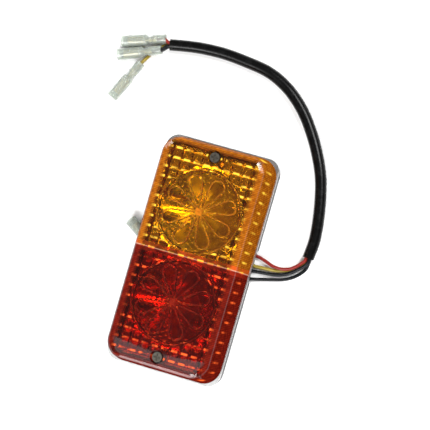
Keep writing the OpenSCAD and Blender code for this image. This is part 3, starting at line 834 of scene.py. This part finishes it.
@dataclass
class WiringTail:
    """The wires, the sleeve over them and the connectors on their ends.

    Routes, and the wires' places in the sleeve, are in millimetres.
    """

    wire_r: float = 1.05 * MM
    sleeve_r: float = 3.6 * MM
    sleeve_wall: float = 0.4 * MM
    crimp_end: float = 22 * MM
    exit_at: Point = (0.0, 2.0 * MM, 6.8 * MM)
    exit_r: float = 2.6 * MM
    exit_drop: float = 1.6 * MM
    pair_shift: float = 1.15
    pair_dip: float = 0.16
    pair_lift: float = 0.73
    pair_squeeze: float = 0.08
    lift_gain: float = 1.6
    swap_starts: tuple[float, ...] = (0.18, 0.56)
    swap_share: float = 0.28
    wire_step: float = 1.5 * MM
    wire_facets: int = 4
    sleeve_facets: int = 8
    connector_smooth: float = 40.0
    sleeve_smooth: float = 50.0
    sleeve_margin: int = 6
    sleeve_skip: int = 3
    sleeve: list[Point] = field(
        default_factory=lambda: [
            (66.9, 20, 3.7), (67.7, 31, 3.7), (66.5, 44, 3.7), (63.8, 58.4, 3.7), (60.2, 70.8, 3.7),
            (53.9, 84.2, 3.7), (46.3, 96.5, 3.7), (37.9, 107, 3.7), (26.1, 117, 3.7), (12.5, 123.6, 3.7),
            (-4.3, 126.6, 3.7), (-19.5, 127.9, 3.7), (-34, 127.4, 3.7), (-44, 126.1, 3.7),
            (-52.6, 124.6, 3.7),
        ]
    )
    ends: dict[str, tuple[Point, Point]] = field(
        default_factory=lambda: {
            "red": ((-82.9, 118.9, 3.7), (-56.2, 127.4, 3.7)),
            "black": ((-83.0, 110.3, 3.7), (-56.9, 119.9, 5.7)),
            "yellow": ((-79.2, 83.6, 3.7), (-67.2, 108.9, 3.7)),
            "side": ((-46.0, 13.1, 3.7), (-22.35, -1.9, 3.7)),
        }
    )

    def __post_init__(self) -> None:
        """Works out the sleeve's centre line."""
        self.middle = through_points([Vector(p) * MM for p in self.sleeve])
        self.on_end: dict[str, list[bpy.types.Object]] = {}

    def out_of_grommet(self, angle: float) -> list[Vector]:
        """A wire's first two points, straight down out of the grommet.

        Args:
            angle: where round the grommet it comes out, in degrees.

        Returns:
            The two points.
        """
        a = math.radians(angle)
        top = Vector(self.exit_at) + self.exit_r * Vector((math.cos(a), math.sin(a), 0))
        return [top, top - Vector((0, 0, self.exit_drop))]

    def in_mouth(self, far: bool, across: float, up: float, out: float) -> Vector:
        """A wire's place at a mouth of the sleeve.

        Args:
            far: whether it is the end with the connectors.
            across: sideways, in shifts.
            up: upwards, in shifts.
            out: how far out of the mouth, in millimetres.

        Returns:
            The point.
        """
        a, b = (self.sleeve[-1], self.sleeve[-2]) if far else (self.sleeve[0], self.sleeve[1])
        a, b = Vector(a) * MM, Vector(b) * MM
        d = (a - b).normalized()
        return a + self.pair_shift * MM * Vector((across * d.y, -across * d.x, up)) + out * MM * d

    def in_connector(self, key: str, s: float, up: float = 0.0) -> Vector:
        """A point in a connector.

        Args:
            key: the connector.
            s: how far it is from the crimp's end, in millimetres.
            up: how far it is above the axis, in millimetres.

        Returns:
            The point.
        """
        tip, end = (Vector(p) * MM for p in self.ends[key])
        d = (end - tip).normalized()
        u = d.cross(Vector((0, 0, 1))).normalized().cross(d)
        return tip + (self.crimp_end + s * MM) * d + up * MM * u

    def packed(self, top_turn: float, low_turn: float) -> dict[Conductor, tuple[float, float]]:
        """Where the four wires lie in the sleeve, in millimetres to the left and up.

        Args:
            top_turn: how far the upper pair has changed places, from 0 to 180 degrees.
            low_turn: the same for the lower pair.

        Returns:
            Each wire's place.
        """
        t, w = math.radians(top_turn), math.radians(low_turn)
        press_top = min(1.0, self.lift_gain * math.sin(w))
        press_low = min(1.0, self.lift_gain * math.sin(t))
        top = self.pair_shift - self.pair_dip * math.sin(t) ** 2 + self.pair_lift * press_top
        low = -(self.pair_shift - self.pair_dip * math.sin(w) ** 2 + self.pair_lift * press_low)
        reach_top = self.pair_shift - self.pair_squeeze * press_top
        reach_low = self.pair_shift - self.pair_squeeze * press_low
        return {
            Conductor.RED: (reach_top * math.cos(t), top + reach_top * math.sin(t)),
            Conductor.BLACK: (-reach_top * math.cos(t), top - reach_top * math.sin(t)),
            Conductor.YELLOW: (reach_low * math.cos(w), low - reach_low * math.sin(w)),
            Conductor.SECOND_BLACK: (-reach_low * math.cos(w), low + reach_low * math.sin(w)),
        }

    def in_sleeve(self, wire: Conductor) -> list[Vector]:
        """A wire's line inside the sleeve, where first the upper and then the lower pair change sides.

        Args:
            wire: the wire.

        Returns:
            Points between the two mouths.
        """
        line: list[Vector] = []
        count = len(self.middle)
        for i in range(self.sleeve_margin, count - self.sleeve_margin, self.sleeve_skip):
            share = i / (count - 1)
            turns = []
            for start in self.swap_starts:
                x = min(1.0, max(0.0, (share - start) / self.swap_share))
                turns.append(180 * x * x * (3 - 2 * x))
            left, up = self.packed(*turns)[wire]
            d = (self.middle[i + 1] - self.middle[i - 1]).normalized()
            line.append(self.middle[i] + MM * (left * Vector((-d.y, d.x, 0)) + up * Vector((0, 0, 1))))
        return line

    def routes(self) -> dict[Conductor, list[Vector]]:
        """Every wire's points from the grommet, through the sleeve, to its crimp.

        Returns:
            Each wire's points, in metres.
        """
        near = {
            Conductor.RED: (72, [
                (2.6, 6, 3), (6.2, 7.6, 2), (12, 9.6, 1.5), (20, 11.8, 1.4), (29, 13, 1.4), (36, 12.9, 1.7),
                (41.7, 11.5, 2.4), (46.1, 10, 3), (50.2, 9.3, 3.4), (54.4, 9.6, 3.6), (58.2, 11, 3.8),
                (61.6, 13.5, 4.2), (63.9, 16, 4.5)], (1, 1)),
            Conductor.YELLOW: (0, [
                (4.6, 2.4, 2.8), (8.2, 3.2, 1.6), (14, 4.4, 1.2), (24, 5.7, 1.2), (37.4, 6.7, 1.2),
                (42, 6.9, 1.2), (46.4, 7.2, 1.2), (50.4, 7.7, 1.2), (54.6, 9, 1.2), (58.4, 11, 1.2),
                (62, 13.9, 1.4), (64.5, 16.1, 2.1)], (1, -1)),
            Conductor.BLACK: (-72, [
                (2.4, -2, 3), (5.8, -1.8, 1.6), (12, 0.2, 1.2), (24, 2.5, 1.2), (37.5, 3.6, 1.2),
                (42, 4, 1.2), (46.8, 4.5, 1.2), (51.6, 5.4, 1.2), (55.8, 6.9, 1.3), (59.6, 9.1, 1.9),
                (63.1, 12, 3), (66.2, 14.9, 4.1)], (-1, 1)),
            Conductor.SECOND_BLACK: (-144, [
                (-0.6, -3, 3), (2.8, -5, 1.6), (9, -5.6, 1.2), (22, -3.6, 1.2), (37.3, -1.3, 1.2),
                (43.5, 0.2, 1.2), (49, 1.6, 1.2), (53.9, 3, 1.2), (58.2, 4.8, 1.2), (61.9, 7.2, 1.2),
                (65.1, 10.3, 1.3), (67.4, 13.8, 1.5)], (-1, -1)),
        }
        c = self.in_connector
        far = {
            Conductor.RED: (1.2, [c("red", 5.2, 0.5), c("red", 2.5), c("red", 0)]),
            Conductor.YELLOW: (0.5, [Vector(p) * MM for p in (
                (-54.7, 124.9, 1.55), (-56.5, 123.5, 1.08), (-59.2, 121.5, 1.15), (-61.6, 118.8, 1.15),
                (-63.4, 116.2, 1.2), (-65, 113.4, 1.9))]
                + [c("yellow", 7.5, -0.7), c("yellow", 5), c("yellow", 2.5), c("yellow", 0)]),
            Conductor.BLACK: (1.4, [c("black", 6.4, 1.3), c("black", 3.5, 1.1), c("black", 0, 1.1)]),
            Conductor.SECOND_BLACK: (1.4, [
                c("black", 6.4, -1.3), c("black", 3.5, -1.1), c("black", 0, -1.1)]),
        }
        made = {}
        for wire, (angle, points, mouth) in near.items():
            out, rest = far[wire]
            leave = [self.in_mouth(True, *mouth, 0), self.in_mouth(True, *mouth, out)]
            made[wire] = (
                self.out_of_grommet(angle) + [Vector(p) * MM for p in points]
                + [self.in_mouth(False, *mouth, 2), self.in_mouth(False, *mouth, 0)]
                + self.in_sleeve(wire) + leave + rest
            )
        return made

    def thread(self, name: str, line: Sequence[Vector], radius: float) -> bpy.types.Object:
        """Draws a round wire along a line.

        Args:
            name: the wire's name.
            line: the points of its centre line.
            radius: its radius.

        Returns:
            A curve object.
        """
        data = bpy.data.curves.new(name, "CURVE")
        data.dimensions, data.bevel_depth, data.bevel_resolution = "3D", radius, self.wire_facets
        data.use_fill_caps = True
        spline = data.splines.new("POLY")
        spline.points.add(len(line) - 1)
        for point, place in zip(spline.points, line):
            point.co = (*place, 1.0)
        spline.use_smooth = True
        wire = bpy.data.objects.new(name, data)
        bpy.context.scene.collection.objects.link(wire)
        return wire

    def build_connectors(self) -> None:
        """Makes the milky connectors and the metal receptacles in them."""
        kinds = (("connector", MILKY, "connector_clear"), ("terminal", BRASS, "brass"))
        for key in self.ends:
            self.on_end[key] = []
            for part, finish, slot in kinds:
                made = Bench.copy_node(f"{part}_{key}", f"{part}_{key}_piece", self.connector_smooth)
                self.on_end[key].append(Bench.dress(made, finish, "lamp", slot))

    def build_wires(self) -> None:
        """Makes the four long wires and the short one on the left."""
        stands_for = {
            Conductor.RED: (("wire_red", "tail_red"), "red", "wire_red"),
            Conductor.YELLOW: (("wire_yellow", "tail_yellow"), "yellow", "wire_yellow"),
            Conductor.BLACK: (("wire_black", "tail_black"), "black", "wire_black"),
            Conductor.SECOND_BLACK: (("wire_black_second", "tail_black_second"), "black", "wire_black"),
        }
        for wire, points in self.routes().items():
            line = through_points(points, self.wire_step)
            nodes, connector, slot = stands_for[wire]
            made = self.thread(f"long_wire_{wire.value}", line, self.wire_r)
            Bench.dress(made, PVC[wire], "lamp", slot)
            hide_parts(*nodes)
            round(length_of(line), 3)
        bend = ((-4.6, 4.2, 3), (-8.2, 2.8, 2.2), (-11.4, -1.4, 2.2), (-14.8, -4.6, 3), (-18.6, -4.3, 3.6))
        side = self.out_of_grommet(144) + [Vector(p) * MM for p in bend]
        line = through_points(side + [self.in_connector("side", s) for s in (6, 3, 0)])
        made = self.thread("side_wire", line, self.wire_r)
        Bench.dress(made, PVC[Conductor.BLACK], "lamp", "wire_black")
        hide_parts("side_lead")
        round(length_of(line), 3)

    def build_sleeve(self) -> None:
        """Makes the black sleeve, open at both ends."""
        made = self.thread("black_sleeve", self.middle, self.sleeve_r)
        made.data.use_fill_caps = False
        made.data.bevel_resolution = self.sleeve_facets
        Bench.take(made)
        bpy.ops.object.convert(target="MESH")
        made = bpy.context.object
        Bench.modify(made, "SOLIDIFY", thickness=self.sleeve_wall, offset=-1.0)
        Bench.mend(made)
        Bench.smooth(made, self.sleeve_smooth)
        Bench.dress(made, SLEEVE_PVC, "lamp", "sleeve_black")
        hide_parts("cable_sleeve")
        round(length_of(self.middle), 3)

    def build(self) -> None:
        """Makes the whole tail."""
        self.build_connectors()
        self.build_wires()
        self.build_sleeve()


# --------------------------------------------------------------------------- lens


@dataclass
class Block:
    """A plain block with rounded corners, in millimetres, centred on the lamp's axis."""

    half_x: float
    half_y: float
    corner: float
    low: float
    high: float
    round_steps: int = 10

    def build(self, name: str) -> bpy.types.Object:
        """Makes the block from a plane by rounding its corners and drawing it up.

        Args:
            name: the new mesh's name.

        Returns:
            A closed mesh.
        """
        Bench.clear()
        bpy.ops.mesh.primitive_plane_add(size=2.0, location=(0, 0, self.low * MM))
        made = bpy.context.object
        made.name = name
        made.scale = (self.half_x * MM, self.half_y * MM, 1)
        Bench.rest(made)
        Bench.edit(made)
        bpy.ops.mesh.bevel(offset=self.corner * MM, segments=self.round_steps, affect="VERTICES")
        rise = (0, 0, (self.high - self.low) * MM)
        bpy.ops.mesh.extrude_region_move(TRANSFORM_OT_translate={"value": rise})
        bpy.ops.mesh.select_all(action="SELECT")
        bpy.ops.mesh.normals_make_consistent(inside=False)
        Bench.clear()
        return made


@dataclass
class OpticFace:
    """The pattern moulded inside one lens half, in millimetres: a flower in a ring, and prisms round it."""

    chamber: Chamber
    half_width: float = 27.4
    near_y: float = 0.6
    far_y: float = 63.4
    hub_y: float = 28.0
    top: float = 35.85
    base: float = 35.35
    pitch: float = 0.5
    petals: int = 8
    petal_reach: float = 18.2
    petal_r: float = 4.2
    rib: float = 0.55
    rib_from: float = 1.5
    dish_depth: float = 0.45
    bead_height: float = 0.22
    bead_pitch: float = 3.1
    bead_count: int = 24
    bead_from: float = 0.4
    hub_height: float = 1.7
    hub_top: float = 1.5
    hub_slope: float = 0.35
    hub_half: float = 2.6
    ring_r: float = 25.2
    ring_height: float = 1.9
    ring_half: float = 0.9
    brick: float = 6.2
    brick_height: float = 1.25
    brick_steepness: float = 1.9
    inner_floor: float = 0.1
    outer_floor: float = 0.2
    trim_half_y: float = 66.0
    trim_corner: float = 6.5
    trim_low: float = 30.0
    trim_high: float = 37.0
    screw_y: float = 62.0
    tower_r: float = 5.4
    tower_depth: float = 12.0
    tower_sides: int = 48

    def flower(self, u: np.ndarray, v: np.ndarray) -> np.ndarray:
        """How far the flower and its hub stand into the lamp.

        Args:
            u: places across, from the hub.
            v: places along, from the hub.

        Returns:
            The relief's height at each place.
        """
        rho, theta = np.hypot(u, v), np.arctan2(v, u)
        step = 2 * math.pi / self.petals
        off = (theta / step) % 1.0 - 0.5
        px, py = rho * np.cos(off * step), np.abs(rho * np.sin(off * step))
        half = math.asin(self.petal_r / self.petal_reach)
        round_end = px * math.cos(half) + py * math.sin(half) > self.petal_reach * math.cos(half)
        tip = np.hypot(px - self.petal_reach, py) - self.petal_r
        edge = np.where(round_end, tip, py * math.cos(half) - px * math.sin(half))
        ribs = np.clip(1.25 - np.abs(edge) / self.rib, 0, 1) * (rho > self.rib_from)
        dish = np.where(edge < 0, self.dish_depth * np.clip(-edge / self.petal_r, 0, 1), 0.0)
        beads = np.sin(rho * 2 * math.pi / self.bead_pitch) * np.sin(theta * self.bead_count)
        beads = self.bead_height * beads * (edge > self.bead_from)
        out = np.maximum(np.abs(u), np.abs(v))
        hub = np.clip(self.hub_height - self.hub_slope * out, 0, self.hub_top) * (out < self.hub_half)
        return np.maximum(np.maximum(ribs, hub), dish + beads + self.inner_floor)

    def relief(self, x: np.ndarray, y: np.ndarray) -> np.ndarray:
        """How far the pattern stands into the lamp.

        Args:
            x: places across the lamp.
            y: places along it, away from the joint.

        Returns:
            The relief's height at each place.
        """
        rho = np.hypot(x, y - self.hub_y)
        ring = self.ring_height * np.clip(1.3 - np.abs(rho - self.ring_r) / self.ring_half, 0, 1)
        wy = 1 - 2 * np.abs((y / self.brick) % 1.0 - 0.5)
        wx = 1 - 2 * np.abs((x / self.brick) % 1.0 - 0.5)
        bricks = self.brick_height * np.minimum(wy, self.brick_steepness * wx)
        outer = np.maximum(ring, np.where(rho > self.ring_r, bricks, self.outer_floor))
        return np.where(rho < self.ring_r - self.ring_half, self.flower(x, y - self.hub_y), outer)

    def build(self) -> bpy.types.Object:
        """Makes the patterned plate, trimmed to the lens and open for the screw.

        Returns:
            A closed mesh.
        """
        side = self.chamber.side
        width, length = 2 * self.half_width, self.far_y - self.near_y
        Bench.clear()
        bpy.ops.mesh.primitive_grid_add(
            x_subdivisions=int(width / self.pitch), y_subdivisions=int(length / self.pitch), size=1.0,
            location=(0, 0, 0))
        plate = bpy.context.object
        plate.name = f"{self.chamber.value}_optic"
        plate.scale = (width * MM, length * MM, 1)
        plate.location = (0, side * (self.near_y + self.far_y) / 2 * MM, self.base * MM)
        Bench.rest(plate)
        Bench.edit(plate)
        rise = (0, 0, (self.top - self.base) * MM)
        bpy.ops.mesh.extrude_region_move(TRANSFORM_OT_translate={"value": rise})
        Bench.clear()
        mesh = plate.data
        co = np.empty(len(mesh.vertices) * 3)
        mesh.vertices.foreach_get("co", co)
        co = co.reshape(-1, 3)
        low = co[:, 2] < (self.base + self.top) / 2 * MM
        co[low, 2] -= self.relief(co[low, 0] / MM, np.abs(co[low, 1]) / MM) * MM
        mesh.vertices.foreach_set("co", co.ravel())
        mesh.update()
        Bench.mend(plate, DOUBLE_GAP / 2)
        trim = Block(self.half_width, self.trim_half_y, self.trim_corner, self.trim_low, self.trim_high)
        Bench.combine(plate, trim.build("trim"), "INTERSECT")
        bpy.ops.mesh.primitive_cylinder_add(
            vertices=self.tower_sides, radius=self.tower_r * MM, depth=self.tower_depth * MM,
            location=(0, side * self.screw_y * MM, self.base * MM))
        Bench.combine(plate, Bench.rest(bpy.context.object), "DIFFERENCE")
        return plate


@dataclass
class Lens:
    """One lens half: its shell, the pattern in its face and the flutes in its walls.

    Lengths are in millimetres, and the angles up to which edges are shaded smooth in degrees.
    """

    chamber: Chamber
    finish: Finish
    flute_step: float = 3.1
    flute_r: float = 0.85
    flute_length: float = 18.5
    flute_count: int = 19
    flute_sides: int = 6
    first_flute: float = 0.4
    wall_x: float = 31.45
    wall_z: float = 24.5
    wall_run: float = 3.6
    wall_rise: float = 27.3
    contact_y: float = 28.0
    contact_room: float = 5.0
    shell_smooth: float = 35.0
    whole_smooth: float = 24.0

    def flutes(self) -> bpy.types.Object:
        """Makes the row of upright ribs inside the two long walls.

        Returns:
            One object with a closed mesh for each rib.
        """
        side = self.chamber.side
        Bench.clear()
        bpy.ops.mesh.primitive_cylinder_add(
            vertices=self.flute_sides, radius=self.flute_r * MM, depth=self.flute_length * MM)
        first = Bench.rest(bpy.context.object)
        bars: list[bpy.types.Object] = []
        for flank in (-1, 1):
            for k in range(1, self.flute_count + 1):
                y = side * (k * self.flute_step + self.first_flute)
                if flank < 0 and abs(abs(y) - self.contact_y) < self.contact_room:
                    continue
                bar = first.copy()
                bar.data = first.data.copy()
                bpy.context.scene.collection.objects.link(bar)
                bar.rotation_euler = (0, flank * -math.atan2(self.wall_run, self.wall_rise), 0)
                bar.location = (flank * self.wall_x * MM, y * MM, self.wall_z * MM)
                bars.append(bar)
        Bench.clear()
        bpy.data.objects.remove(first, do_unlink=True)
        for bar in bars:
            bar.select_set(True)
        bpy.context.view_layer.objects.active = bars[0]
        bpy.ops.object.join()
        return Bench.rest(bpy.context.object)

    def build(self) -> None:
        """Makes the half as one closed body."""
        name = f"{self.chamber.value}_lens"
        shell = Bench.copy_node(name, f"{name}_shell", self.shell_smooth)
        Bench.combine(shell, OpticFace(self.chamber).build(), "UNION")
        Bench.combine(shell, self.flutes(), "UNION")
        Bench.smooth(shell, self.whole_smooth)
        Bench.modify(shell, "WEIGHTED_NORMAL", keep_sharp=True)
        Bench.dress(shell, self.finish, "lens", f"{self.chamber.value}_plastic")


# --------------------------------------------------------------------------- lamp body


@dataclass
class LampBody:
    """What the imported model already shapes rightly: smoothed copies with their finishes."""

    smooth_below: float = 32.0

    def build(self) -> None:
        """Dresses the base, plate, reflector, sockets, bulbs and screws."""
        plan: list[tuple[str, Finish, str, str]] = [
            ("base_housing", BLACK_PLASTIC, "lamp", "base_plastic"),
            ("mounting_gasket", FOAM, "lamp", "foam_rubber"),
            ("mounting_inserts", BRASS, "lamp", "brass"),
            ("lamp_plate", BRIGHT_PLATE, "lamp", "zinc_steel"),
            ("plate_screws", SCREW_STEEL, "lamp", "steel_hardware"),
            ("lens_posts", SCREW_STEEL, "lamp", "steel_hardware"),
            ("lens_seal", SOFT_RUBBER, "lamp", "foam_rubber"),
            ("reflector", MIRROR, "lamp", "reflector_white"),
            ("chamber_divider", MIRROR, "lamp", "reflector_white"),
            ("wire_grommet", SOFT_RUBBER, "lamp", "foam_rubber"),
            ("earth_tag", BRASS, "lamp", "brass"),
            ("earth_rivet", SCREW_STEEL, "lamp", "steel_hardware"),
            ("socket_rivets", SCREW_STEEL, "lamp", "steel_hardware"),
            ("screw_washers", SOFT_RUBBER, "lens", "foam_rubber"),
            ("earth_lead", PVC[Conductor.BLACK], "lamp", "wire_black"),
            ("amber_lead", PVC[Conductor.YELLOW], "lamp", "wire_yellow"),
            ("red_lead", PVC[Conductor.RED], "lamp", "wire_red"),
        ]
        for chamber in Chamber:
            key = chamber.value
            plan += [
                (f"{key}_socket", BRIGHT_PLATE, "lamp", "zinc_steel"),
                (f"{key}_insulator", FIBRE, "lamp", "fibre"),
                (f"{key}_contact", BRASS, f"{key}_contact", "brass"),
                (f"{key}_contact_spring", SCREW_STEEL, "lamp", "spring_steel"),
                (f"{key}_contact_tag", BRASS, "lamp", "brass"),
                (f"{key}_bulb_cap", TINNED, f"{key}_bulb", "bulb_metal"),
                (f"{key}_bulb_glass", CLEAR_GLASS, f"{key}_bulb", "bulb_glass"),
                (f"{key}_bulb_filament", TUNGSTEN, f"{key}_bulb", "filament"),
                (f"lens_screw_{key}", SCREW_STEEL, f"lens_screw_{key}", "steel_hardware"),
            ]
        for node, finish, body, slot in plan:
            Bench.dress(Bench.copy_node(node, f"{node}_piece", self.smooth_below), finish, body, slot)


def main() -> None:
    """Builds everything in order."""
    studio = Studio()
    studio.build_camera()
    WiringTail().build()
    studio.build_floor()
    studio.build_lights()
    LampBody().build()
    Lens(Chamber.AMBER, AMBER_LENS).build()
    Lens(Chamber.RED, RED_LENS).build()


if __name__ == "__main__":
    logging.basicConfig(level=logging.INFO, format="%(message)s")
    main()
